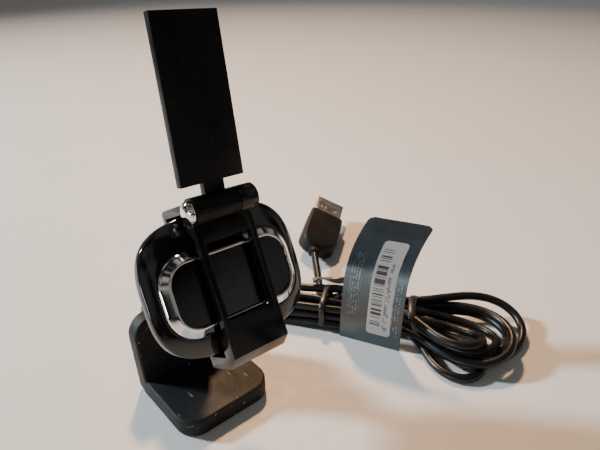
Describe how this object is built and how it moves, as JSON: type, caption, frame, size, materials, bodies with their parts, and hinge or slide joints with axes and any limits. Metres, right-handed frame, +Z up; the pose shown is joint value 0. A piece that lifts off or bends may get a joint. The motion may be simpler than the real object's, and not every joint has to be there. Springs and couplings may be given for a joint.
{
  "type": "webcam with clip-on shutter",
  "caption": "Small webcam on a ball joint and an L-shaped rubber foot, with a clip-on flip shutter over its window and its lead tied in a hank with a rectangular plug.",
  "frame": {"origin": "centre of the foot's underside, on the desk", "axes": "+Z up, -Y towards what the camera looks at, +X to the object's left as it faces you"},
  "size_m": [0.1244, 0.1122, 0.1078],
  "materials": {
    "foot_rubber": "soft matte rubber, dusty",
    "core_steel": "plain steel plate",
    "black_matte": "fine matte black",
    "black_gloss": "polished black",
    "clip_black": "moulded black, half gloss",
    "ring_chrome": "bright plated ring",
    "pin_chrome": "bright domed pin",
    "screw_steel": "plated screw",
    "window_glass": "smoked clear window",
    "lens_glass": "coated lens glass",
    "filter_glass": "pink infrared filter",
    "board_green": "solder-masked board",
    "chip_black": "moulded chip body",
    "lamp_plastic": "milky lamp body",
    "connector_cream": "nylon connector",
    "lead_black": "smooth black cord jacket",
    "boot_rubber": "matte rubber",
    "mould_grey": "dark grey overmould",
    "plug_nickel": "nickel-plated shell",
    "tongue_white": "white insulator",
    "contact_gold": "gold-plated contacts",
    "tie_black": "flat coated tie",
    "label_teal": "dark laminated label",
    "sticker_pale": "pale paper sticker"
  },
  "bodies": {
    "foot": {"foot_cover": "foot_rubber", "foot_core": "core_steel", "socket_base": "black_matte", "socket_screws": "screw_steel", "cable_boot": "boot_rubber", "boot_cable": "lead_black", "cable_lead": "lead_black", "cable_hank": "lead_black", "plug_lead": "lead_black", "plug_mould": "mould_grey", "plug_shell": "plug_nickel", "plug_tongue": "tongue_white", "plug_contacts": "contact_gold", "tie_left": "tie_black", "tie_right": "tie_black", "flag_label": "label_teal", "label_sticker": "sticker_pale"},
    "swivel": {"swivel_cup": "black_matte", "cup_cap": "black_matte", "pivot_screw": "screw_steel"},
    "stem": {"ball_stem": "black_gloss"},
    "head": {"stem_retainer": "screw_steel", "retainer_screws": "screw_steel", "front_cover": "black_gloss", "rear_cover": "black_matte", "bezel_ring": "ring_chrome", "window": "window_glass", "lens_baffle": "black_matte", "lens_barrel": "black_matte", "front_lens": "lens_glass", "rear_lens": "lens_glass", "infrared_filter": "filter_glass", "lens_holder": "black_matte", "image_sensor": "chip_black", "main_board": "board_green", "board_chips": "chip_black", "clock_crystal": "screw_steel", "board_screws": "screw_steel", "microphone": "screw_steel", "microphone_boot": "boot_rubber", "status_lamp": "lamp_plastic", "board_plug": "connector_cream", "inner_lead": "lead_black", "clip_frame": "clip_black", "clip_pads": "boot_rubber", "hinge_pin": "pin_chrome"},
    "flap": {"shutter_flap": "clip_black"}
  },
  "joints": [
    {"name": "head_pan", "type": "hinge", "parent": "foot", "child": "swivel", "pos_m": [0, 0.01131, 0.0267], "axis": [0, 0, 1], "range_deg": [-30, 30]},
    {"name": "head_tilt", "type": "hinge", "parent": "swivel", "child": "stem", "pos_m": [0, 0.01131, 0.0267], "axis": [0.9979, 0.0645, 0], "range_deg": [-8, 22]},
    {"name": "head_twist", "type": "hinge", "parent": "stem", "child": "head", "pos_m": [0, 0.01131, 0.0267], "axis": [-0.0563, 0.8703, -0.4894], "range_deg": [-12, 12]},
    {"name": "shutter_hinge", "type": "hinge", "parent": "head", "child": "flap", "pos_m": [0.00366, -0.0097, 0.06473], "axis": [0.9969, 0.0217, -0.076], "range_deg": [-25, 165]}
  ]
}
